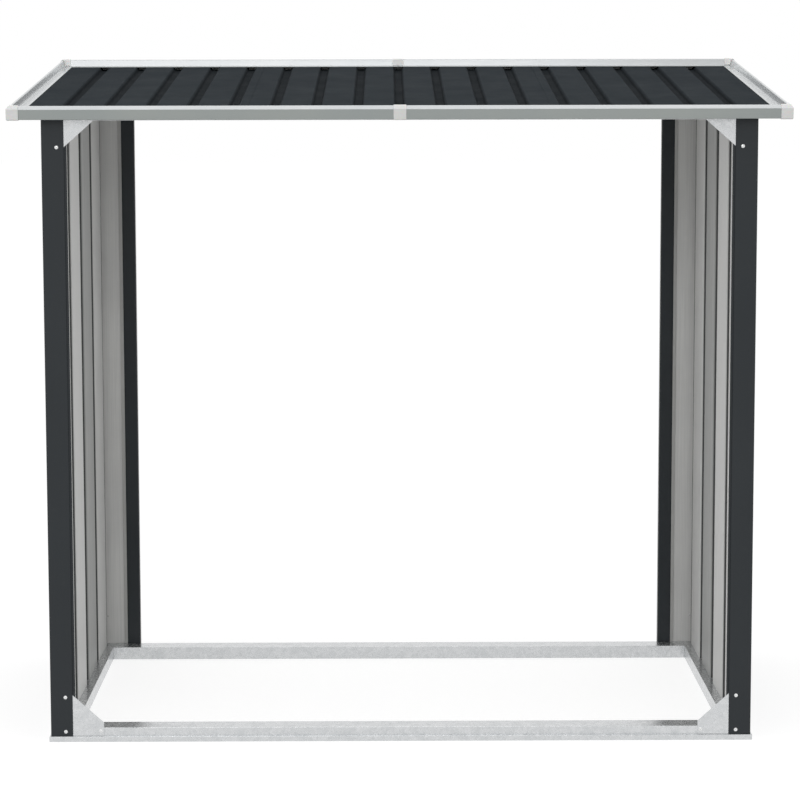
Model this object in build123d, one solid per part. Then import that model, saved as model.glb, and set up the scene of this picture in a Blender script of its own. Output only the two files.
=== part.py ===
from build123d import *
import os
from math import cos, radians, sin, tan

# Log store: an open-fronted, open-backed shed of folded steel sheet under a lean-to roof.
# Millimetres. X runs along the front, Y from the front to the back, Z up.
# The origin is on the ground, under the middle of the roof.

# Frame of posts, measured over their outer faces
frame_width = 1580.0
frame_depth = 830.0

# Roof, measured over the plastic corner caps
side_overhang = 70.0
end_overhang = 40.0
overall_height = 1540.0
roof_pitch = 7.0

# Metal thicknesses
ribbed_sheet = 1.0
post_sheet = 1.5
rail_sheet = 1.2
plate_sheet = 1.2
trim_sheet = 1.0
cap_wall = 1.2

# Inside radii of the bends in the coated sheets. The rails are pressed to sharp corners
post_bend = 2.5
rib_bend = 2.0
trim_bend = 1.0

# Clearance between neighbours that seat on each other, and half of it at a mitre
fit = 0.3
mitre_gap = 0.2

# Base rail: a lip in front, a step up and a ledge that the walls stand on
lip_proud = 3.0
lip_height = 12.3
rail_height = 31.4
rail_width = 56.0
rail_foot = 15.0

# Corner posts
post_face = 50.0
post_leg = 50.0
post_lip = 10.0
rear_flange = 120.0
stiffener_width = 33.0
stiffener_depth = 12.0
stiffener_slope = 10.0

# Rails under the roof
head_rail_width = 40.0
front_head_drop = 9.0
rear_head_drop = 30.0
side_head_width = 43.0
side_head_drop = 30.0

# Triangular corner plates of the open front
gusset_reach = 70.0
gusset_overlap = 35.0
gusset_leg_bottom = 94.0
gusset_leg_top = 67.0
gusset_edge_bottom = 31.0
gusset_edge_top = 5.0

# Side walls: wide flats inside, narrow ribs standing out
wall_inset = 33.0
wall_rib_pitch = 205.0
wall_rib_base = 50.0
wall_rib_top = 30.0
wall_rib_depth = 25.0
wall_end_margin = 13.0
wall_flange = 49.0
wall_lap = 20.0
wall_joint = 60.0

# Roof sheets: flats with narrow grooves between them. The middle sheet covers whole grooves
groove_pitch = 93.0
groove_mouth = 26.0
groove_floor = 15.0
groove_depth = 9.0
sheet_cover = 651.0
sheet_lap = 24.0
sheet_edge_gap = 3.0
joggle_run = 4.0

# Roof edge trim, measured from its outer face and from the top of the roof flats
trim_drop = 13.0
trim_foot = 12.0
trim_rise = 17.0
trim_face_rise = 10.0
trim_bevel = 5.0
trim_ridge = 4.0
trim_riser_run = 4.0
trim_width = 30.0
trim_joint_gap = 1.0

# Plastic caps on the trim corners and connectors at mid-length
cap_leg = 25.0
cap_foot = 10.0
cap_skirt_height = 3.0
connector_length = 28.0

# Places worked out from the sizes above
slope = radians(roof_pitch)
roof_width = frame_width + 2 * side_overhang
roof_depth = frame_depth + 2 * end_overhang
cap_proud = fit + cap_wall
ridge_inset = trim_bevel
slope_length = (roof_depth - (trim_drop + cap_proud + trim_face_rise) * sin(slope)) / cos(slope)
trim_half_x = roof_width / 2 - cap_proud
trim_half_v = slope_length / 2 - cap_proud
roof_top_w = trim_rise + cap_proud
roof_centre_z = overall_height - (trim_half_v - ridge_inset) * sin(slope) - roof_top_w * cos(slope)
roof_centre_y = (trim_face_rise - trim_drop - cap_proud) * sin(slope) / 2
post_half_x = frame_width / 2
post_half_y = frame_depth / 2
lip_half_x = post_half_x + lip_proud
lip_half_y = post_half_y + lip_proud
step_in = lip_proud + post_sheet + plate_sheet + 2 * fit
post_foot_z = lip_height + fit
ledge_z = rail_height + fit
head_w = -(groove_depth + ribbed_sheet + fit)
wall_top_w = head_w - rail_sheet - fit
roof_place = Pos(0, roof_centre_y, roof_centre_z) * Rot(roof_pitch, 0, 0)

os.makedirs("parts", exist_ok=True)


# The height at depth y of a plane that lies w above the roof flats
def roof_z(y, w):
    return roof_centre_z + (y - roof_centre_y) * tan(slope) + w / cos(slope)


# A line of folds moved sideways by a distance, its corners mitred. Left of its run is positive
def shifted(points, distance):
    line = [Vector(*point) for point in points]
    runs = [(b - a).normalized() for a, b in zip(line, line[1:])]
    normals = [Vector(-run.Y, run.X) for run in runs]
    corners = [line[0] + normals[0] * distance]
    for corner, before, after in zip(line[1:], normals, normals[1:]):
        corners.append(corner + (before + after) * (distance / (1 + before.dot(after))))
    corners.append(line[-1] + normals[-1] * distance)
    return [(corner.X, corner.Y) for corner in corners]


# A section pressed to sharp corners: the metal between two shifts of the same line of folds
def pressed(points, near, far):
    return make_face(Polyline(*shifted(points, near), *reversed(shifted(points, far)), close=True))


# The same with rounded bends. The two sides of a bend share one centre, and the inner side has
# the radius of the bend
def folded(points, near, far, bend):
    line = [Vector(*point) for point in points]
    runs = [b - a for a, b in zip(line, line[1:])]
    turns = [1 if before.cross(after).Z > 0 else -1 for before, after in zip(runs, runs[1:])]
    sides = []
    for distance in (near, far):
        radii = [bend + max(turn * near, turn * far) - turn * distance for turn in turns]
        sides.append(FilletPolyline(*shifted(points, distance), radius=radii))
    ends = [Line(sides[0] @ end, sides[1] @ end) for end in (0, 1)]
    return make_face([*sides[0].edges(), *sides[1].edges(), *ends])


# A bar along X with its outer face at y = -inset. Its ends are square, or mitred at 45 degrees
# across the width of its section
def edge_bar(section, inset, width, start, end, mitre_start, mitre_end, gap):
    margin = 2 * cap_proud
    reach = width + cap_proud
    plan = Polygon(
        (start - margin * mitre_start + gap, -margin),
        (end + margin * mitre_end - gap, -margin),
        (end - reach * mitre_end - gap, reach),
        (start + reach * mitre_start + gap, reach),
        align=None,
    )
    tall = 2 * rail_width
    limits = Pos(0, -inset, -rail_width) * extrude(plan, amount=tall, dir=(0, 0, 1))
    profile = Plane.YZ * (Pos(-inset, 0) * section)
    middle = (start + end) / 2
    span = end - start + 2 * margin
    bar = Pos(middle, 0, 0) * extrude(profile, amount=span / 2, both=True)
    return bar & limits


# Everything below a plane that lies w above the roof flats
def under_roof(w):
    y = roof_depth
    outline = Polygon((-y, -1), (y, -1), (y, roof_z(y, w)), (-y, roof_z(-y, w)), align=None)
    return extrude(Plane.YZ * outline, amount=roof_width, both=True)


def mirror_x(shape):
    return mirror(shape, about=Plane.YZ)


def base_rails():
    section = pressed(
        [
            (rail_foot, 0),
            (0, 0),
            (0, lip_height),
            (step_in, lip_height),
            (step_in, rail_height),
            (rail_width, rail_height),
            (rail_width, 0),
            (rail_width - rail_foot, 0),
        ],
        0,
        -rail_sheet,
    )
    long_rail = edge_bar(section, lip_half_y, rail_width, -lip_half_x, lip_half_x, 1, 1, mitre_gap)
    short_rail = edge_bar(section, lip_half_x, rail_width, -lip_half_y, lip_half_y, 1, 1, mitre_gap)
    return {
        "base_rail_front": long_rail,
        "base_rail_rear": Rot(0, 0, 180) * long_rail,
        "base_rail_left": Rot(0, 0, -90) * short_rail,
        "base_rail_right": Rot(0, 0, 90) * short_rail,
    }


# The space that the base rails and the side rails under the roof take inside the posts
def post_cope():
    inner_x = post_half_x - post_sheet - fit
    inner_y = post_half_y - post_sheet - fit
    opening_x = inner_x - side_head_width - fit
    foot = Pos(0, 0, ledge_z / 2) * Box(2 * inner_x, 2 * inner_y, ledge_z)
    head_height = side_head_drop - head_w + fit
    head = roof_place * Pos(0, 0, -head_height / 2) * Box(2 * inner_x + fit, roof_depth, head_height)
    inside = Pos(0, 0, overall_height / 2) * Box(2 * inner_x + fit, 2 * inner_y, overall_height)
    opening = Box(2 * opening_x, roof_depth, 2 * overall_height)
    return foot + ((head & inside) - opening)


def post(points):
    height = overall_height - post_foot_z
    section = folded(points, 0, post_sheet, post_bend)
    blank = Pos(0, 0, post_foot_z) * extrude(section, amount=height, dir=(0, 0, 1))
    return (blank & under_roof(head_w)) - post_cope()


def posts():
    x = post_half_x
    y = post_half_y
    front = post(
        [
            (x - post_face, -y),
            (x, -y),
            (x, -y + post_leg),
            (x - post_lip, -y + post_leg),
        ]
    )
    free = x - rear_flange
    fold = y - stiffener_depth
    rear = post(
        [
            (x - post_lip, y - post_leg),
            (x, y - post_leg),
            (x, y),
            (free, y),
            (free, fold),
            (free + stiffener_width, fold),
            (free + stiffener_width + stiffener_slope, y - 2 * post_sheet),
        ]
    )
    return {
        "post_front_left": mirror_x(front),
        "post_front_right": front,
        "post_rear_left": mirror_x(rear),
        "post_rear_right": rear,
    }


# A channel under the roof, open downwards, with its top flange on the slope of the roof
def head_channel(y_outer, direction, drop, half_length):
    y_inner = y_outer + direction * head_rail_width
    section = pressed(
        [
            (y_outer, roof_z(y_outer, head_w) - drop),
            (y_outer, roof_z(y_outer, head_w)),
            (y_inner, roof_z(y_inner, head_w)),
            (y_inner, roof_z(y_inner, head_w) - drop),
        ],
        0,
        -direction * rail_sheet,
    )
    return extrude(Plane.YZ * section, amount=half_length, both=True)


def top_rails():
    front_y = -(lip_half_y - step_in)
    rear_y = post_half_y - post_sheet - fit
    front_half = post_half_x - wall_inset + ribbed_sheet - wall_flange + wall_rib_depth - fit
    rear_half = post_half_x - rear_flange - fit
    side_x = post_half_x - post_sheet - fit
    angle = pressed(
        [
            (side_x - side_head_width, head_w),
            (side_x, head_w),
            (side_x, head_w - side_head_drop),
        ],
        0,
        -rail_sheet,
    )
    bar = roof_place * extrude(Plane.XZ * angle, amount=roof_depth / 2, both=True)
    depth = rear_y - front_y
    limits = Pos(0, (rear_y + front_y) / 2, overall_height) * Box(roof_width, depth, overall_height)
    side = bar & limits
    return {
        "top_rail_front": head_channel(front_y, 1, front_head_drop, front_half),
        "top_rail_rear": head_channel(rear_y, -1, rear_head_drop, rear_half),
        "top_rail_left": mirror_x(side),
        "top_rail_right": side,
    }


# A triangular plate behind the post, with its tip cut off square where it meets the rail
def gusset(z_square, leg, edge, direction):
    x_post = post_half_x - post_face
    x_tip = x_post - gusset_reach
    x_back = x_post + gusset_overlap
    rise = (leg - edge) / gusset_reach
    outline = Polygon(
        (x_back, z_square),
        (x_back, z_square + direction * (leg + rise * gusset_overlap)),
        (x_tip, z_square + direction * edge),
        (x_tip, z_square),
        align=None,
    )
    y_face = -(post_half_y - post_sheet - fit)
    return Pos(0, y_face, 0) * extrude(Plane.XZ * outline, amount=plate_sheet, dir=(0, 1, 0))


def gussets():
    z_top = roof_z(-post_half_y, head_w)
    bottom = gusset(post_foot_z, gusset_leg_bottom, gusset_edge_bottom, 1)
    top = gusset(z_top, gusset_leg_top, gusset_edge_top, -1)
    return {
        "gusset_bottom_left": mirror_x(bottom),
        "gusset_bottom_right": bottom,
        "gusset_top_left": mirror_x(top),
        "gusset_top_right": top,
    }


# Corners of one outward rib of the side wall, centred at y
def wall_rib(y, x_flat):
    return [
        (x_flat, y - wall_rib_base / 2),
        (x_flat + wall_rib_depth, y - wall_rib_top / 2),
        (x_flat + wall_rib_depth, y + wall_rib_top / 2),
        (x_flat, y + wall_rib_base / 2),
    ]


def wall_panel(points):
    height = overall_height - ledge_z
    section = folded(points, 0, -ribbed_sheet, rib_bend)
    blank = Pos(0, 0, ledge_z) * extrude(section, amount=height, dir=(0, 0, 1))
    return blank & under_roof(wall_top_w)


def wall_panels():
    x_flat = post_half_x - wall_inset
    x_rib = x_flat + wall_rib_depth
    x_flange = x_rib + ribbed_sheet - wall_flange
    y_front = -(lip_half_y - step_in) + ribbed_sheet
    y_rear = post_half_y - post_sheet - fit - ribbed_sheet
    run_out = (wall_rib_base - wall_rib_top) / 2
    tongue = ribbed_sheet + fit
    front = wall_panel(
        [
            (x_flange, y_front),
            (x_rib, y_front),
            (x_rib, y_front + wall_end_margin),
            (x_flat, y_front + wall_end_margin + run_out),
            *wall_rib(-wall_rib_pitch, x_flat),
            *wall_rib(0, x_flat),
            (x_flat, wall_joint + wall_lap / 2),
        ]
    )
    rear = wall_panel(
        [
            (x_flat + tongue, wall_joint - wall_lap / 2),
            (x_flat + tongue, wall_joint + wall_lap / 2 + fit),
            (x_flat, wall_joint + wall_lap / 2 + fit + joggle_run),
            *wall_rib(wall_rib_pitch, x_flat),
            (x_flat, y_rear - wall_end_margin - run_out),
            (x_rib, y_rear - wall_end_margin),
            (x_rib, y_rear),
            (x_flange, y_rear),
        ]
    )
    return {
        "wall_panel_left_front": mirror_x(front),
        "wall_panel_left_rear": mirror_x(rear),
        "wall_panel_right_front": front,
        "wall_panel_right_rear": rear,
    }


# Corners of one groove of the roof, centred at x
def roof_groove(x):
    return [
        (x - groove_mouth / 2, 0),
        (x - groove_floor / 2, -groove_depth),
        (x + groove_floor / 2, -groove_depth),
        (x + groove_mouth / 2, 0),
    ]


def roof_sheet(points):
    section = folded(points, 0, -ribbed_sheet, rib_bend)
    half_run = trim_half_v - sheet_edge_gap
    return roof_place * extrude(Plane.XZ * section, amount=half_run, both=True)


def roof_sheets():
    middle_grooves = round(sheet_cover / groove_pitch)
    joint = middle_grooves * groove_pitch / 2
    edge = trim_half_x - sheet_edge_gap
    tongue = ribbed_sheet + fit
    middle_points = [(-joint - sheet_lap / 2, 0)]
    for i in range(middle_grooves):
        middle_points += roof_groove((i + 0.5) * groove_pitch - joint)
    middle_points.append((joint + sheet_lap / 2, 0))
    side_points = [
        (joint - sheet_lap / 2, -tongue),
        (joint + sheet_lap / 2 + fit, -tongue),
        (joint + sheet_lap / 2 + fit + joggle_run, 0),
    ]
    for i in range(int((edge - joint) / groove_pitch)):
        side_points += roof_groove(joint + (i + 0.5) * groove_pitch)
    side_points.append((edge, 0))
    side = roof_sheet(side_points)
    return {
        "roof_sheet_left": mirror_x(side),
        "roof_sheet_middle": roof_sheet(middle_points),
        "roof_sheet_right": side,
    }


# Folds of the roof edge trim from its foot up the face, over the ridge and down to its flange
def trim_folds():
    seat = fit + trim_sheet
    riser = trim_bevel + trim_ridge
    return [
        (trim_foot, -trim_drop),
        (0, -trim_drop),
        (0, trim_face_rise),
        (trim_bevel, trim_rise),
        (riser, trim_rise),
        (riser + trim_riser_run, seat),
        (trim_width, seat),
    ]


def cap_section():
    folds = trim_folds()
    riser_top = folds[4]
    riser_foot = folds[5]
    share = (riser_top[1] - cap_skirt_height) / (riser_top[1] - riser_foot[1])
    skirt = (riser_top[0] + share * (riser_foot[0] - riser_top[0]), cap_skirt_height)
    points = [(cap_foot, -trim_drop), *folds[1:5], skirt]
    return folded(points, fit, fit + cap_wall, trim_bend + trim_sheet + fit)


def roof_trims():
    section = folded(trim_folds(), 0, -trim_sheet, trim_bend)
    x = trim_half_x
    v = trim_half_v
    split = trim_joint_gap / 2
    right_half = edge_bar(section, v, trim_width, split, x, 0, 1, mitre_gap)
    left_half = mirror_x(right_half)
    side = edge_bar(section, x, trim_width, -v, v, 1, 1, mitre_gap)
    turned = Rot(0, 0, 180)
    return {
        "roof_trim_front_left": roof_place * left_half,
        "roof_trim_front_right": roof_place * right_half,
        "roof_trim_rear_left": roof_place * turned * right_half,
        "roof_trim_rear_right": roof_place * turned * left_half,
        "roof_trim_left": roof_place * Rot(0, 0, -90) * side,
        "roof_trim_right": roof_place * Rot(0, 0, 90) * side,
    }


def trim_plastics():
    section = cap_section()
    x = trim_half_x
    v = trim_half_v
    width = trim_bevel + trim_ridge + trim_riser_run
    along_front = edge_bar(section, v, width, x - cap_leg, x, 0, 1, 0)
    along_side = Rot(0, 0, 90) * edge_bar(section, x, width, -v, -v + cap_leg, 1, 0, 0)
    front_right = along_front + along_side
    half = connector_length / 2
    connector = edge_bar(section, v, width, -half, half, 0, 0, 0)
    turned = Rot(0, 0, 180)
    front_left = mirror_x(front_right)
    return {
        "trim_cap_front_left": roof_place * front_left,
        "trim_cap_front_right": roof_place * front_right,
        "trim_cap_rear_left": roof_place * turned * front_right,
        "trim_cap_rear_right": roof_place * turned * front_left,
        "trim_connector_front": roof_place * connector,
        "trim_connector_rear": roof_place * turned * connector,
    }


def main():
    pieces = {}
    for group in (base_rails, posts, top_rails, gussets, wall_panels, roof_sheets, roof_trims, trim_plastics):
        pieces.update(group())
    for name, piece in pieces.items():
        export_step(piece, f"parts/{name}.step")


main()
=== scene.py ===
import math

import bmesh
import bpy
from mathutils import Matrix, Vector


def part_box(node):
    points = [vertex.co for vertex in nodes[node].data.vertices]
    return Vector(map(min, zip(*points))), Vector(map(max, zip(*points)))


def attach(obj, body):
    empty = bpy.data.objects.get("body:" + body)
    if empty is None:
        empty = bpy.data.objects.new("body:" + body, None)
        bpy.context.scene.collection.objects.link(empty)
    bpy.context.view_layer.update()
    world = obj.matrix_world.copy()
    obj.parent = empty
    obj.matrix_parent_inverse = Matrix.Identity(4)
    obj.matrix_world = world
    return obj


# Log store of folded sheet steel. Metres, X along the front, Y from the front to the back, Z up.
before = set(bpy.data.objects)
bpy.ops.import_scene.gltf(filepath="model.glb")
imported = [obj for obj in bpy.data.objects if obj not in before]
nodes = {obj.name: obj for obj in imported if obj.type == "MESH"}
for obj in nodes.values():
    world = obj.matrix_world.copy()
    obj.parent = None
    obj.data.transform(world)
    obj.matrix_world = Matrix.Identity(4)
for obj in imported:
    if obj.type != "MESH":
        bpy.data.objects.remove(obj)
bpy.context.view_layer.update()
scene = bpy.context.scene
scene.view_settings.view_transform = "Standard"
print("frame loaded:", len(nodes), "nodes")


# The roof: the direction square to it, the one up its slope, and the middle of its flats

roofSet = {
    "pitch": math.radians(7.0),
    "depth": 0.010,  # from the flats to the underside of the grooves
}

roofUp = Vector((0, -math.sin(roofSet["pitch"]), math.cos(roofSet["pitch"])))
roofAlong = Vector((0, math.cos(roofSet["pitch"]), math.sin(roofSet["pitch"])))
roofLow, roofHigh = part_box("roof_sheet_middle")
roofCentre = (roofLow + roofHigh) / 2 + roofUp * roofSet["depth"] / 2


# Small helpers for node trees

def newMaterial(name):
    made = bpy.data.materials.new(name)
    made.use_nodes = True
    shader = next(node for node in made.node_tree.nodes if node.type == "BSDF_PRINCIPLED")
    return made, made.node_tree, shader


# Gives a node its inputs, each a plain value or the output of another node
def setInputs(tree, node, inputs):
    for key, value in inputs.items():
        if isinstance(value, bpy.types.NodeSocket):
            tree.links.new(value, node.inputs[key])
        else:
            node.inputs[key].default_value = value


def addNode(tree, kind, inputs=None, **settings):
    made = tree.nodes.new(kind)
    for key, value in settings.items():
        setattr(made, key, value)
    setInputs(tree, made, inputs or {})
    return made


def maths(tree, operation, *values):
    return addNode(tree, "ShaderNodeMath", dict(enumerate(values)), operation=operation).outputs[0]


# Object coordinates, stretched by a factor along each axis
def point(tree, stretch=(1, 1, 1)):
    place = addNode(tree, "ShaderNodeTexCoord").outputs["Object"]
    return addNode(tree, "ShaderNodeMapping", {"Vector": place, "Scale": stretch}).outputs["Vector"]


def partAlong(tree, where, axis):
    return addNode(tree, "ShaderNodeSeparateXYZ", {0: where}).outputs[axis]


def noise(tree, where, scale, detail, roughness=0.5):
    inputs = {"Vector": where, "Scale": scale, "Detail": detail, "Roughness": roughness}
    return addNode(tree, "ShaderNodeTexNoise", inputs).outputs["Fac"]


def spread(tree, value, fromLow, fromHigh, toLow, toHigh):
    inputs = {"Value": value, "From Min": fromLow, "From Max": fromHigh, "To Min": toLow, "To Max": toHigh}
    return addNode(tree, "ShaderNodeMapRange", inputs).outputs["Result"]


def blendColours(tree, factor, first, second):
    inputs = {0: factor, 6: first, 7: second}  # colours go into inputs 6 and 7
    return addNode(tree, "ShaderNodeMix", inputs, data_type="RGBA").outputs[2]


# The first tone where a pattern is at the low end of its span, and the second at the high end
def mottle(tree, pattern, span, first, second):
    return blendColours(tree, spread(tree, pattern, *span, 0, 1), first, second)


def bump(tree, height, strength, depth, normal=None):
    inputs = {"Height": height, "Strength": strength, "Distance": depth}
    if normal is not None:
        inputs["Normal"] = normal
    return addNode(tree, "ShaderNodeBump", inputs).outputs["Normal"]


def rgb(red, green, blue):
    return (red, green, blue, 1.0)


# Camera, close to the photograph's viewing angle

cameraSet = {
    "place": (-0.0291, -5.6909, 1.4733),
    "tilt": -0.1030,  # angles in radians
    "yaw": -0.0054,
    "roll": -0.0019,
    "lens": 107.56,
    "shiftY": -0.085,
}


def makeCamera(plan):
    data = bpy.data.cameras.new("camera")
    data.lens = plan["lens"]
    data.shift_y = plan["shiftY"]
    camera = bpy.data.objects.new("camera", data)
    turn = Matrix.Rotation(plan["yaw"], 4, "Z")
    turn = turn @ Matrix.Rotation(math.pi / 2 + plan["tilt"], 4, "X")
    turn = turn @ Matrix.Rotation(plan["roll"], 4, "Z")
    camera.matrix_world = Matrix.Translation(plan["place"]) @ turn
    scene.collection.objects.link(camera)
    scene.camera = camera


makeCamera(cameraSet)
print("camera set")


# Light: a plain soft studio, a white surround, a floor that keeps the shadow

lightSet = {
    "white": rgb(1, 1, 1),
    "worldLight": 0.66,  # what the surround throws on the store
    "surroundLight": 1.0,  # what the camera and shiny faces see of it
    "floorColour": rgb(0.62, 0.62, 0.62),
    "floorShade": rgb(0.36, 0.36, 0.36),
    "floorGlow": 0.775,
    "floorHalf": 40.0,
    "floorCells": 8,
    "topLamp": {
        "size": (4.6, 4.0),
        "place": (0.0, -0.6, 4.0),
        "target": (0.0, -0.6, 0.0),
        "power": 38.0,
    },
    "frontLamp": {
        "size": (5.0, 2.4),
        "place": (-1.2, -6.2, 3.7),
        "target": (0.0, 0.0, 0.8),
        "power": 60.0,
    },
}


# 1 for rays that see the surround itself: from the camera, a mirror or a clear material
def surroundRay(tree):
    path = addNode(tree, "ShaderNodeLightPath")
    seen = path.outputs["Is Camera Ray"]
    for name in ("Is Glossy Ray", "Is Transmission Ray"):
        seen = maths(tree, "MAXIMUM", seen, path.outputs[name])
    return seen


def makeWorld(plan):
    world = bpy.data.worlds.new("studio")
    world.use_nodes = True
    tree = world.node_tree
    background = next(node for node in tree.nodes if node.type == "BACKGROUND")
    strength = spread(tree, surroundRay(tree), 0, 1, plan["worldLight"], plan["surroundLight"])
    setInputs(tree, background, {"Color": plan["white"], "Strength": strength})
    scene.world = world


def makeLamp(name, size, place, target, power):
    data = bpy.data.lights.new(name, "AREA")
    data.shape = "RECTANGLE"
    data.size, data.size_y = size
    data.energy = power
    lamp = bpy.data.objects.new(name, data)
    aim = Vector(target) - Vector(place)
    lamp.matrix_world = Matrix.Translation(place) @ aim.to_track_quat("-Z", "Y").to_matrix().to_4x4()
    scene.collection.objects.link(lamp)


def makeFloor(plan):
    material = bpy.data.materials.new("paleFloor")
    material.use_nodes = True
    tree = material.node_tree
    tree.nodes.clear()
    plain = addNode(tree, "ShaderNodeBsdfDiffuse", {"Color": plan["floorColour"]})
    shade = addNode(tree, "ShaderNodeBsdfDiffuse", {"Color": plan["floorShade"]})
    glow = addNode(tree, "ShaderNodeEmission", {"Color": plan["white"], "Strength": plan["floorGlow"]})
    seen = addNode(tree, "ShaderNodeAddShader", {0: shade.outputs[0], 1: glow.outputs[0]})
    both = {0: surroundRay(tree), 1: plain.outputs[0], 2: seen.outputs[0]}
    mixed = addNode(tree, "ShaderNodeMixShader", both)
    addNode(tree, "ShaderNodeOutputMaterial", {"Surface": mixed.outputs[0]})
    mesh = bpy.data.meshes.new("floor")
    form = bmesh.new()
    cells = plan["floorCells"]
    bmesh.ops.create_grid(form, x_segments=cells, y_segments=cells, size=plan["floorHalf"])
    form.to_mesh(mesh)
    form.free()
    mesh.materials.append(material)
    floor = bpy.data.objects.new("floor", mesh)
    scene.collection.objects.link(floor)


makeWorld(lightSet)
makeFloor(lightSet)
for name in ("topLamp", "frontLamp"):
    makeLamp(name, **lightSet[name])
print("light and floor set")


# Anthracite polyester coat of the posts, the roof and the outside of the walls, with painted shade in the
# roof's grooves

darkCoatSet = {
    "post": {
        "tone": rgb(0.019, 0.0235, 0.0275),
        "toneAgain": rgb(0.022, 0.027, 0.031),
        "specular": 0.31,
        "rough": (0.32, 0.44),
    },
    "roof": {
        "tone": rgb(0.0250, 0.0302, 0.0348),
        "toneAgain": rgb(0.0284, 0.0341, 0.0388),
        # painted shade: the darker tone deep in the roof's grooves
        "grooveShadeTone": rgb(0.0105, 0.0128, 0.0148),
        "specular": 0.01,
        "rough": (0.66, 0.8),
    },
    "grooveShadeDepths": (0.0022, 0.0055),  # below the flats, where the painted groove shade sets in and is full
    "grooveShadeShare": 0.8,
    "cloud": (2.6, 4.0, 0.6),  # scale, detail and roughness of a noise
    "cloudSpan": (0.35, 0.65),
    "dust": rgb(0.075, 0.077, 0.075),
    "dustShare": 0.08,
    "speck": (60.0, 5.0, 0.7),
    "speckSpan": (0.56, 0.8),
    "patch": (11.0, 3.0, 0.6),
    "patchSpan": (0.3, 0.7),
    "wave": (3.4, 1.0),
    "waveBump": (0.12, 0.004),  # strength and depth of a relief
    "peel": (330.0, 2.0),
    "peelBump": (0.3, 0.00016),
    "grain": (1500.0, 1.0),
    "grainBump": (0.45, 0.00006),
}


# Painted shade: 0 on the flats of the roof and the full share deep in its grooves, darkening them where
# shade falls
def paintedGrooveShade(tree, where, plan):
    upwards = {0: where, 1: roofUp}
    height = addNode(tree, "ShaderNodeVectorMath", upwards, operation="DOT_PRODUCT").outputs["Value"]
    span = [roofCentre.dot(roofUp) - depth for depth in plan["grooveShadeDepths"]]
    return spread(tree, height, *span, 0, plan["grooveShadeShare"])


def makeDarkCoat(name, gloss, plan):
    material, tree, shader = newMaterial(name)
    where = point(tree)
    cloud = noise(tree, where, *plan["cloud"])
    tone = mottle(tree, cloud, plan["cloudSpan"], gloss["tone"], gloss["toneAgain"])
    # painted shade in the roof's grooves
    if "grooveShadeTone" in gloss:
        tone = blendColours(tree, paintedGrooveShade(tree, where, plan), tone, gloss["grooveShadeTone"])
    speck = noise(tree, where, *plan["speck"])
    dust = spread(tree, speck, *plan["speckSpan"], 0, plan["dustShare"])
    patch = noise(tree, where, *plan["patch"])
    wave = bump(tree, noise(tree, where, *plan["wave"]), *plan["waveBump"])
    peel = bump(tree, noise(tree, where, *plan["peel"]), *plan["peelBump"], wave)
    grain = bump(tree, noise(tree, where, *plan["grain"]), *plan["grainBump"], peel)
    setInputs(tree, shader, {
        "Base Color": blendColours(tree, dust, tone, plan["dust"]),
        "Roughness": spread(tree, patch, *plan["patchSpan"], *gloss["rough"]),
        "Specular IOR Level": gloss["specular"],
        "Normal": grain,
    })
    return material


# Pale back coat on the inner side of the sheets, with faint rolling lines. On the walls it carries painted
# shade just inside each rib and a painted reflection that darkens one flat, in place of what a glossy sheet
# shades and mirrors there

backCoatSet = {
    "tone": rgb(0.66, 0.66, 0.65),
    "toneAgain": rgb(0.74, 0.74, 0.725),
    "toneSpan": (0.15, 0.35),
    "lineStretch": (1.0, 1.0, 0.012),
    "line": (420.0, 2.0),
    "lineBump": (0.25, 0.00008),
    "cloud": (4.0, 4.0, 0.6),
    "cloudSpan": (0.3, 0.7),
    "wave": (3.0, 1.0),
    "waveBump": (0.15, 0.004),
    "metal": 0.05,
    "rough": (0.34, 0.5),
    "ribHeight": 0.026,  # from the inner side of the flats to the outside of the ribs
    # painted shade: the dark tone just inside each rib
    "ribShadeTone": rgb(0.030, 0.032, 0.033),
    "ribShadeDepths": (0.0017, 0.0030),  # into a rib, where the painted rib shade sets in and is full
    "ribShadeFadeDepths": (0.0065, 0.0090),  # where the painted shade fades again, down to the deep share
    "deepShadeShare": 0.25,
    # painted reflection: the darker tone of the flat behind the middle rib
    "bandReflectionTone": rgb(0.33, 0.337, 0.328),
    "bandReflectionShare": 0.9,
    "bandMiddle": 0.1025,  # Y of the flat behind the middle rib
    "bandHalf": 0.078,
    "bandEdge": 0.004,
}


# Painted shade: 0 on the flats of a wall, 1 just inside its ribs and less again deep in them, on either side
# of the bay
def paintedRibShade(tree, where, plan):
    offset = maths(tree, "ABSOLUTE", partAlong(tree, where, "X"))
    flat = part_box("wall_panel_right_front")[1].x - plan["ribHeight"]
    darkFrom, darkTo = (flat + depth for depth in plan["ribShadeDepths"])
    paleFrom, paleTo = (flat + depth for depth in plan["ribShadeFadeDepths"])
    entering = spread(tree, offset, darkFrom, darkTo, 0, 1)
    deep = spread(tree, offset, paleFrom, paleTo, 1, plan["deepShadeShare"])
    return maths(tree, "MULTIPLY", entering, deep)


# Painted reflection: the band's share of a darker tone on the flat behind the middle rib, and 0 on the
# others
def paintedBandReflection(tree, where, plan):
    along = maths(tree, "SUBTRACT", partAlong(tree, where, "Y"), plan["bandMiddle"])
    offset = maths(tree, "ABSOLUTE", along)
    return spread(tree, offset, plan["bandHalf"], plan["bandHalf"] + plan["bandEdge"], plan["bandReflectionShare"], 0)


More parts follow.
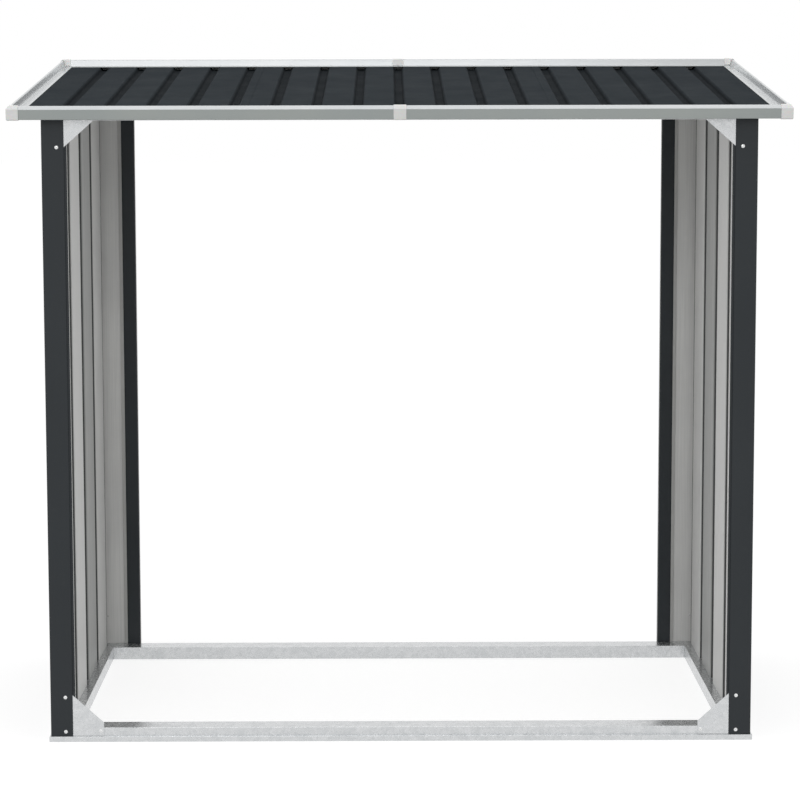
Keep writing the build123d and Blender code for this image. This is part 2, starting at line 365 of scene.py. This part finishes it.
def makeBackCoat(name, withPaintedShade, plan):
    material, tree, shader = newMaterial(name)
    where = point(tree)
    lines = noise(tree, point(tree, plan["lineStretch"]), *plan["line"])
    cloud = noise(tree, where, *plan["cloud"])
    both = maths(tree, "MULTIPLY", lines, cloud)
    tone = mottle(tree, both, plan["toneSpan"], plan["tone"], plan["toneAgain"])
    if withPaintedShade:
        # painted reflection: a darker tone on the flat behind the middle rib
        tone = blendColours(tree, paintedBandReflection(tree, where, plan), tone, plan["bandReflectionTone"])
        # painted shade just inside the ribs
        tone = blendColours(tree, paintedRibShade(tree, where, plan), tone, plan["ribShadeTone"])
    wave = bump(tree, noise(tree, where, *plan["wave"]), *plan["waveBump"])
    setInputs(tree, shader, {
        "Base Color": tone,
        "Roughness": spread(tree, cloud, *plan["cloudSpan"], *plan["rough"]),
        "Metallic": plan["metal"],
        "Normal": bump(tree, lines, *plan["lineBump"], wave),
    })
    return material


# Hot-dip zinc with its spangle, for the rails and corner plates

zincSet = {
    "dark": rgb(0.575, 0.59, 0.60),
    "light": rgb(0.67, 0.68, 0.69),
    "shareSpan": (0.2, 1.8),
    "driftScale": 60.0,
    "drift": (0.008, 0.008, 0.008),  # bends the straight borders of the cells
    "spangleScale": 95.0,
    "spangleBump": (0.2, 0.00005),
    "flakeScale": 330.0,
    "metal": 0.85,
    "rough": (0.33, 0.22),  # of the darkest and the brightest cells
    "scratchStretch": (0.03, 1.0, 1.0),
    "scratch": (700.0, 2.0),
    "scratchBump": (0.06, 0.00005),
}


# A random number for each crystal of the zinc
def crystals(tree, where, scale, channel):
    cells = addNode(tree, "ShaderNodeTexVoronoi", {"Vector": where, "Scale": scale})
    return addNode(tree, "ShaderNodeSeparateColor", {0: cells.outputs["Color"]}).outputs[channel]


def makeZinc(plan):
    material, tree, shader = newMaterial("spangledZinc")
    where = point(tree)
    drift = addNode(tree, "ShaderNodeTexNoise", {"Vector": where, "Scale": plan["driftScale"]})
    sideways = {0: drift.outputs["Color"], 1: plan["drift"], 2: where}
    bent = addNode(tree, "ShaderNodeVectorMath", sideways, operation="MULTIPLY_ADD").outputs[0]
    spangle = crystals(tree, bent, plan["spangleScale"], "Red")
    flake = crystals(tree, bent, plan["flakeScale"], "Green")
    share = maths(tree, "ADD", spangle, flake)
    facets = bump(tree, spangle, *plan["spangleBump"])
    scratches = noise(tree, point(tree, plan["scratchStretch"]), *plan["scratch"])
    setInputs(tree, shader, {
        "Base Color": mottle(tree, share, plan["shareSpan"], plan["dark"], plan["light"]),
        "Roughness": spread(tree, share, *plan["shareSpan"], *plan["rough"]),
        "Metallic": plan["metal"],
        "Normal": bump(tree, scratches, *plan["scratchBump"], facets),
    })
    return material


# Grey coat of the trim's outer face, and a lighter copy of it on the folds above, a painted reflection of
# the bright surround

trimSet = {
    "face": {
        "tone": rgb(0.33, 0.36, 0.355),
        "toneAgain": rgb(0.36, 0.385, 0.37),
        "metal": 0.25,
        "rough": (0.38, 0.48),
    },
    # painted reflection: a lighter copy of the grey coat for the folds that face up and inward
    "ridge": {
        "tone": rgb(0.54, 0.56, 0.57),
        "toneAgain": rgb(0.59, 0.605, 0.61),
        "metal": 0.35,
        "rough": (0.15, 0.25),
    },
    "cloud": (5.0, 3.0, 0.6),
    "span": (0.3, 0.7),
    "brushStretch": (0.02, 1.0, 1.0),
    "brush": (900.0, 2.0),
    "brushBump": (0.05, 0.00005),
    "grain": (1300.0, 1.0),
    "grainBump": (0.2, 0.00005),
}


def makeTrimCoat(name, gloss, plan):
    material, tree, shader = newMaterial(name)
    where = point(tree)
    brushed = noise(tree, point(tree, plan["brushStretch"]), *plan["brush"])
    cloud = noise(tree, where, *plan["cloud"])
    grain = bump(tree, noise(tree, where, *plan["grain"]), *plan["grainBump"])
    setInputs(tree, shader, {
        "Base Color": mottle(tree, cloud, plan["span"], gloss["tone"], gloss["toneAgain"]),
        "Roughness": spread(tree, brushed, *plan["span"], *gloss["rough"]),
        "Metallic": gloss["metal"],
        "Normal": bump(tree, brushed, *plan["brushBump"], grain),
    })
    return material


# Moulded white plastic of the caps and connectors

plasticSet = {
    "tone": rgb(0.79, 0.79, 0.78),
    "toneAgain": rgb(0.83, 0.83, 0.82),
    "cloud": (30.0, 3.0),
    "cloudSpan": (0.3, 0.7),
    "rough": (0.38, 0.5),
    "milky": 0.08,  # share of the light that passes under the surface
    "milkyDepth": 0.002,
    "grain": (2600.0, 1.0),
    "grainBump": (0.25, 0.00003),
}


def makePlastic(plan):
    material, tree, shader = newMaterial("whitePlastic")
    where = point(tree)
    cloud = noise(tree, where, *plan["cloud"])
    grain = noise(tree, where, *plan["grain"])
    setInputs(tree, shader, {
        "Base Color": mottle(tree, cloud, plan["cloudSpan"], plan["tone"], plan["toneAgain"]),
        "Roughness": spread(tree, cloud, *plan["cloudSpan"], *plan["rough"]),
        "Subsurface Weight": plan["milky"],
        "Subsurface Scale": plan["milkyDepth"],
        "Normal": bump(tree, grain, *plan["grainBump"]),
    })
    return material


# Cut edges of the coated sheet: bare steel, a little dulled

cutEdgeSet = {
    "tone": rgb(0.36, 0.37, 0.38),
    "stained": rgb(0.2, 0.195, 0.19),
    "stain": (90.0, 4.0, 0.65),
    "toneSpan": (0.4, 0.7),
    "roughSpan": (0.3, 0.7),
    "rough": (0.35, 0.6),
    "metal": 0.7,
}


def makeCutEdge(plan):
    material, tree, shader = newMaterial("cutSteel")
    stain = noise(tree, point(tree), *plan["stain"])
    setInputs(tree, shader, {
        "Base Color": mottle(tree, stain, plan["toneSpan"], plan["tone"], plan["stained"]),
        "Roughness": spread(tree, stain, *plan["roughSpan"], *plan["rough"]),
        "Metallic": plan["metal"],
    })
    return material


# Bright plated steel of the screws

screwSteelSet = {
    "tone": rgb(0.82, 0.83, 0.83),
    "toneAgain": rgb(0.9, 0.9, 0.9),
    "cloud": (260.0, 3.0),
    "cloudSpan": (0.3, 0.7),
    "rough": (0.2, 0.32),
    "metal": 0.6,
    "grain": (3000.0, 1.0),
    "grainBump": (0.1, 0.00002),
}


def makeScrewSteel(plan):
    material, tree, shader = newMaterial("platedSteel")
    where = point(tree)
    cloud = noise(tree, where, *plan["cloud"])
    grain = noise(tree, where, *plan["grain"])
    setInputs(tree, shader, {
        "Base Color": blendColours(tree, cloud, plan["tone"], plan["toneAgain"]),
        "Roughness": spread(tree, cloud, *plan["cloudSpan"], *plan["rough"]),
        "Metallic": plan["metal"],
        "Normal": bump(tree, grain, *plan["grainBump"]),
    })
    return material


darkCoat = makeDarkCoat("anthraciteSatin", darkCoatSet["post"], darkCoatSet)
shadedRoofCoat = makeDarkCoat("anthraciteMattPaintedShade", darkCoatSet["roof"], darkCoatSet)
backCoat = makeBackCoat("paleBackCoat", False, backCoatSet)
shadedWallCoat = makeBackCoat("paleWallCoatPaintedShade", True, backCoatSet)
zinc = makeZinc(zincSet)
trimFace = makeTrimCoat("greyTrimCoat", trimSet["face"], trimSet)
trimRidgeReflection = makeTrimCoat("trimCoatPaintedReflection", trimSet["ridge"], trimSet)
whitePlastic = makePlastic(plasticSet)
cutEdge = makeCutEdge(cutEdgeSet)
screwSteel = makeScrewSteel(screwSteelSet)
print("materials made")


# Finishes on the carried nodes, face by face where one sheet shows two of them

finishSet = {
    "square": 0.9,  # a normal with this much of a direction faces straight along it
    "slight": 0.1,  # and with less than this it faces across it
    "lapReach": 0.3,  # Y within which only the edges of a lap face along Y
    "postFacing": 0.3,  # least inward part of a normal on the inner side of a post
    "postDepth": 0.0105,  # how far from its broad faces a post still shows that side
    "ridgeRise": 0.2,  # least upward part of a normal on the folds with the painted reflection
    "ridgeFacing": 0.5,  # least inward part of a normal on their inner side
    "ridgeTop": 0.0095,  # height over the roof's flats above which the trim takes the painted reflection all round
    "ridgeFoot": 0.001,  # height above which its inner side takes the painted reflection
}

outside, inside, cutEnd = 0, 1, 2  # the places of the materials on a coated sheet


def finishFaces(name, materials, choose):
    mesh = nodes[name].data
    mesh.materials.clear()
    for material in materials:
        mesh.materials.append(material)
    for face in mesh.polygons:
        face.material_index = choose(face.normal, face.center)


def wholeFinish(name, material):
    finishFaces(name, [material], lambda normal, centre: 0)


# The inner side of a wall sheet faces the bay, also round its ribs and end flanges
def wallSide(normal, centre):
    if abs(normal.z) > finishSet["square"]:
        return cutEnd
    inward = -normal.x if centre.x > 0 else normal.x
    if abs(normal.x) > finishSet["slight"]:
        return inside if inward > 0 else outside
    if abs(centre.y) < finishSet["lapReach"]:
        return cutEnd
    return inside if normal.y * centre.y < 0 else outside


# A post is pale on the inner side of its two broad faces, and round the bend between them
def postSide(low, high):
    middle = (low + high) / 2
    backward = 1 if middle.y > 0 else -1
    outward = 1 if middle.x > 0 else -1
    backPlane = high.y if backward > 0 else low.y
    sidePlane = high.x if outward > 0 else low.x
    facing, depth = finishSet["postFacing"], finishSet["postDepth"]

    def choose(normal, centre):
        if abs(normal.z) > finishSet["square"]:
            return cutEnd
        inner = normal.y * backward < -facing and abs(centre.y - backPlane) < depth
        aside = normal.x * outward < -facing and abs(centre.x - sidePlane) < depth
        return inside if inner or aside else outside
    return choose


def roofSide(normal, centre):
    up = normal.dot(roofUp)
    edgeOn = max(abs(normal.dot(roofAlong)), abs(normal.x)) > finishSet["square"]
    if abs(up) < finishSet["slight"] and edgeOn:
        return cutEnd
    return outside if up > 0 else inside


# The trim is grey on its outer face and foot, and the folds that rise above the roof take the lighter copy,
# a painted reflection
def trimSide(outwards):
    grey, bright = 0, 1

    def choose(normal, centre):
        height = (centre - roofCentre).dot(roofUp)
        if normal.dot(roofUp) > finishSet["ridgeRise"] or height > finishSet["ridgeTop"]:
            return bright
        inwards = normal.dot(outwards) < -finishSet["ridgeFacing"]
        return bright if inwards and height > finishSet["ridgeFoot"] else grey
    return choose


outwardsOf = {"front": -roofAlong, "rear": roofAlong, "left": Vector((-1, 0, 0)), "right": Vector((1, 0, 0))}

for name in nodes:
    if name.startswith("post_"):
        # the inner side of a post takes the wall coat, with its painted shade where the post meets the wall
        finishFaces(name, [darkCoat, shadedWallCoat, cutEdge], postSide(*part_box(name)))
    elif name.startswith(("base_rail", "top_rail", "gusset")):
        wholeFinish(name, zinc)
    elif name.startswith("wall_panel"):
        finishFaces(name, [darkCoat, shadedWallCoat, cutEdge], wallSide)
    elif name.startswith("roof_sheet"):
        finishFaces(name, [shadedRoofCoat, backCoat, cutEdge], roofSide)
    elif name.startswith("roof_trim"):
        finishFaces(name, [trimFace, trimRidgeReflection], trimSide(outwardsOf[name.split("_")[2]]))
    else:
        wholeFinish(name, whitePlastic)
print("finishes on the nodes")


# Screws: a flanged head with a cross recess on a short threaded shank

screwSet = {
    "flange": (0.0041, 0.0006),  # radius and height
    "flangeRim": 0.6,  # share of that height that stands upright
    "flangeBevel": 0.0003,
    "head": (0.0034, 0.0024),
    "headTaper": 0.0001,
    "crown": 0.0009,
    "crownSteps": 4,
    "shank": (0.0018, 0.0065),  # radius and length
    "lapShank": 0.0004,  # ends within the two lapped sheets
    "thread": 0.0004,
    "turns": 5,
    "recess": (0.0042, 0.0010, 0.0013),  # length, width and depth
    "recessTaper": 0.55,
    "steps": 20,
    "weld": 0.000001,
    "smoothUnder": math.radians(32),
    "twist": 0.9,  # how far each recess is turned past the one before it
    "rayStart": 1.0,  # clear of the store on every side
    "postInset": 0.034,  # from the side of a post to the screws of its broad face
    "flangeInset": 0.090,
    "legInset": 0.025,
    "railHeight": 0.023,
    "gussetHeight": 0.102,
    "headHeight": 1.338,
    "topDrop": 0.020,
    "bottomTip": (0.677, 0.024),  # X and height of the screw in the tip of a corner plate
    "topTip": (0.695, 0.005),  # X and distance below the top of the plate
    "lapFirst": 0.14,
    "lapPitch": 0.28,
    "lapCount": 5,
    "lapDepth": 0.060,
}


def meshObject(name, form):
    mesh = bpy.data.meshes.new(name)
    form.to_mesh(mesh)
    form.free()
    made = bpy.data.objects.new(name, mesh)
    scene.collection.objects.link(made)
    return made


# Puts edges and faces in the order of their corners, because a spin leaves them in no fixed order
def settleOrder(form):
    form.verts.index_update()
    count = len(form.verts)

    def rank(piece):
        place = 0
        for index in sorted(vert.index for vert in piece.verts):
            place = place * count + index
        return place

    form.edges.sort(key=rank)
    form.faces.sort(key=rank)


# Half the outline of a screw as radius and height, from the tip of the shank to the crown
def screwOutline(plan, shankLength):
    flangeRadius, flangeHeight = plan["flange"]
    headRadius, headHeight = plan["head"]
    shankRadius = plan["shank"][0]
    threadRoot = shankRadius - plan["thread"]
    outline = [(0, -shankLength - shankRadius)]
    threadPitch = shankLength / plan["turns"]
    for turn in range(plan["turns"]):
        low = -shankLength + turn * threadPitch
        outline += [(threadRoot, low), (shankRadius, low + threadPitch / 2)]
    outline += [(threadRoot, 0), (flangeRadius, 0), (flangeRadius, flangeHeight * plan["flangeRim"])]
    outline += [(flangeRadius - plan["flangeBevel"], flangeHeight), (headRadius, flangeHeight)]
    outline.append((headRadius - plan["headTaper"], headHeight - plan["crown"]))
    for step in range(1, plan["crownSteps"] + 1):
        angle = step * math.pi / 2 / plan["crownSteps"]
        height = headHeight - plan["crown"] * (1 - math.sin(angle))
        outline.append((headRadius * math.cos(angle), height))
    return outline


def screwBlank(plan, shankLength):
    outline = screwOutline(plan, shankLength)
    form = bmesh.new()
    points = [form.verts.new((radius, 0, height)) for radius, height in outline]
    lines = [form.edges.new(pair) for pair in zip(points, points[1:])]
    turned = {"cent": (0, 0, 0), "axis": (0, 0, 1), "angle": 2 * math.pi, "steps": plan["steps"]}
    bmesh.ops.spin(form, geom=points + lines, use_merge=True, **turned)
    bmesh.ops.remove_doubles(form, verts=form.verts[:], dist=plan["weld"])
    settleOrder(form)
    bmesh.ops.recalc_face_normals(form, faces=form.faces[:])
    return meshObject("screwBlank", form)


def screwRecess(plan):
    length, width, depth = plan["recess"]
    taper = plan["recessTaper"]
    top = plan["head"][1]
    form = bmesh.new()
    for turn in (0, math.pi / 2):
        arm = bmesh.ops.create_cube(form, size=1)["verts"]
        bmesh.ops.scale(form, vec=(length, width, 2 * depth), verts=arm)
        foot = [vert for vert in arm if vert.co.z < 0]
        bmesh.ops.scale(form, vec=(taper, taper, 1), verts=foot)
        bmesh.ops.rotate(form, cent=(0, 0, 0), matrix=Matrix.Rotation(turn, 3, "Z"), verts=arm)
        bmesh.ops.translate(form, vec=(0, 0, top), verts=arm)
    return meshObject("screwRecess", form)


def makeScrewMaster(plan, shankLength):
    blank = screwBlank(plan, shankLength)
    recess = screwRecess(plan)
    cut = blank.modifiers.new("recess", "BOOLEAN")
    cut.object = recess
    cut.solver = "EXACT"
    cut.use_self = True
    bpy.context.view_layer.update()
    carved = blank.evaluated_get(bpy.context.evaluated_depsgraph_get())
    master = bpy.data.meshes.new_from_object(carved)
    for spent in (blank, recess):
        bpy.data.objects.remove(spent)
    return master


# Where a ray from outside first meets a node, so that a head seats on the real surface
def seatOn(name, start, aim):
    found, place, _, _ = nodes[name].ray_cast(Vector(start), Vector(aim))
    if not found:
        raise ValueError("no surface for a screw on " + name)
    return place, -Vector(aim)


def frontSeats(side, hand, plan):
    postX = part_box("post_front_right")[1].x - plan["postInset"]
    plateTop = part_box("gusset_top_" + side)[1].z
    bottomX, bottomHeight = plan["bottomTip"]
    topX, topDrop = plan["topTip"]
    spots = [("post_front_", postX, plan[key]) for key in ("railHeight", "gussetHeight", "headHeight")]
    spots += [("gusset_bottom_", bottomX, bottomHeight), ("gusset_top_", topX, plateTop - topDrop)]
    ahead = -plan["rayStart"]
    return [seatOn(piece + side, (hand * x, ahead, height), (0, 1, 0)) for piece, x, height in spots]


def rearSeats(side, hand, plan):
    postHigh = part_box("post_rear_right")[1]
    foot, head = plan["railHeight"], postHigh.z - plan["topDrop"]
    spots = [(plan["postInset"], height) for height in (foot, plan["gussetHeight"], head)]
    spots += [(plan["flangeInset"], height) for height in (foot, head)]
    seats = []
    for inset, height in spots:
        start = (hand * (postHigh.x - inset), plan["rayStart"], height)
        seats.append(seatOn("post_rear_" + side, start, (0, -1, 0)))
    return seats


def legSeats(side, hand, plan):
    seats = []
    for post, outward in (("post_front_" + side, -1), ("post_rear_" + side, 1)):
        postLow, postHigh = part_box(post)
        edge = postHigh.y if outward > 0 else postLow.y
        y = edge - outward * plan["legInset"]
        for height in (plan["railHeight"], postHigh.z - plan["topDrop"]):
            seats.append(seatOn(post, (hand * plan["rayStart"], y, height), (-hand, 0, 0)))
    return seats


def lapSeats(side, hand, plan):
    wall = "wall_panel_" + side + "_rear"
    seats = []
    for i in range(plan["lapCount"]):
        height = plan["lapFirst"] + plan["lapPitch"] * i
        seats.append(seatOn(wall, (hand * plan["rayStart"], plan["lapDepth"], height), (-hand, 0, 0)))
    return seats


def makeScrews(name, seats, master, plan):
    form = bmesh.new()
    for i, (place, outward) in enumerate(seats):
        count = len(form.verts)
        form.from_mesh(master)
        form.verts.ensure_lookup_table()
        lean = outward.to_track_quat("Z", "Y").to_matrix().to_4x4()
        twist = Matrix.Rotation(plan["twist"] * i, 4, "Z")
        bmesh.ops.transform(form, matrix=Matrix.Translation(place) @ lean @ twist, verts=form.verts[count:])
    screws = meshObject(name, form)
    screws.data.materials.append(screwSteel)
    for face in screws.data.polygons:
        face.use_smooth = True
    screws.data.set_sharp_from_angle(angle=plan["smoothUnder"])
    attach(screws, "root")


longScrew = makeScrewMaster(screwSet, screwSet["shank"][1])
lapScrew = makeScrewMaster(screwSet, screwSet["lapShank"])
for side, hand in (("left", -1), ("right", 1)):
    makeScrews("screws_front_" + side, frontSeats(side, hand, screwSet), longScrew, screwSet)
    makeScrews("screws_rear_" + side, rearSeats(side, hand, screwSet), longScrew, screwSet)
    makeScrews("screws_leg_" + side, legSeats(side, hand, screwSet), longScrew, screwSet)
    makeScrews("screws_lap_" + side, lapSeats(side, hand, screwSet), lapScrew, screwSet)
for master in (longScrew, lapScrew):
    bpy.data.meshes.remove(master)
print("screws set")


# Softened edges on the carried nodes, as modifiers over their own mesh

edgeSet = {
    "widths": {"trim": 0.0003, "base": 0.0005},  # by the first word of a node's name
    "otherWidth": 0.00025,
    "angle": math.radians(50),
    "segments": 2,
    "smoothUnder": math.radians(25),
    "weld": 0.00001,
    "flatUnder": math.radians(0.3),  # facets closer in angle than this become one face
    "faceWeight": 80,
}


# Smooth shading across the facets of a bend, with every sharper corner left crisp
def makeSmoothing(plan):
    group = bpy.data.node_groups.new("smoothBends", "GeometryNodeTree")
    group.interface.new_socket("Geometry", in_out="INPUT", socket_type="NodeSocketGeometry")
    group.interface.new_socket("Geometry", in_out="OUTPUT", socket_type="NodeSocketGeometry")
    entry = addNode(group, "NodeGroupInput")
    whole = addNode(group, "GeometryNodeSetShadeSmooth", {"Geometry": entry.outputs[0]}, domain="FACE")
    angle = addNode(group, "GeometryNodeInputMeshEdgeAngle").outputs["Unsigned Angle"]
    limits = {0: angle, 1: plan["smoothUnder"]}
    sharp = addNode(group, "FunctionNodeCompare", limits, operation="GREATER_THAN")
    crisp = {"Geometry": whole.outputs[0], "Selection": sharp.outputs[0], "Shade Smooth": False}
    done = addNode(group, "GeometryNodeSetShadeSmooth", crisp, domain="EDGE")
    addNode(group, "NodeGroupOutput", {"Geometry": done.outputs[0]})
    return group


smoothing = makeSmoothing(edgeSet)


def softenEdges(node, width, plan):
    weld = node.modifiers.new("weld", "WELD")
    weld.merge_threshold = plan["weld"]
    flat = node.modifiers.new("flat", "DECIMATE")
    flat.decimate_type = "DISSOLVE"
    flat.angle_limit = plan["flatUnder"]
    flat.delimit = {"MATERIAL"}
    edges = node.modifiers.new("edges", "BEVEL")
    edges.width = width
    edges.segments = plan["segments"]
    edges.limit_method = "ANGLE"
    edges.angle_limit = plan["angle"]
    edges.material = -1
    smooth = node.modifiers.new("smooth", "NODES")
    smooth.node_group = smoothing
    shade = node.modifiers.new("shade", "WEIGHTED_NORMAL")
    shade.weight = plan["faceWeight"]
    shade.keep_sharp = True


for name, node in nodes.items():
    width = edgeSet["widths"].get(name.split("_")[0], edgeSet["otherWidth"])
    softenEdges(node, width, edgeSet)
print("edges softened")
